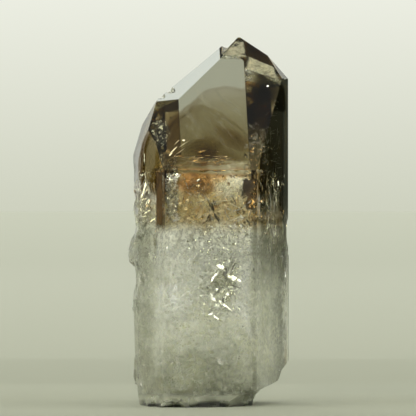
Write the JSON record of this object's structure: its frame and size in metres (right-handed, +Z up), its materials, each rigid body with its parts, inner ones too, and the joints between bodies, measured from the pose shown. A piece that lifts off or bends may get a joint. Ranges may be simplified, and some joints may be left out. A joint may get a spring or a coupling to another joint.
{
  "type": "phantom amethyst quartz point",
  "caption": "Single clear-tipped quartz point with smoky amethyst phantoms above and a milky lower half, cut flat to stand upright.",
  "frame": {"origin": "middle of the crystal's bounding box, on the flat cut it stands on", "axes": "+Z runs up along the crystal's long axis to the tip, the large front face looks towards -Y and slightly to +X, +X is to the viewer's right"},
  "size_m": [0.0384, 0.0422, 0.0883],
  "materials": {
    "quartz": "clear natural crystal faces, smoky gold phantoms inside, milky white below, rough where broken"
  },
  "bodies": {
    "root": {"amethyst_point": "quartz"}
  },
  "joints": []
}
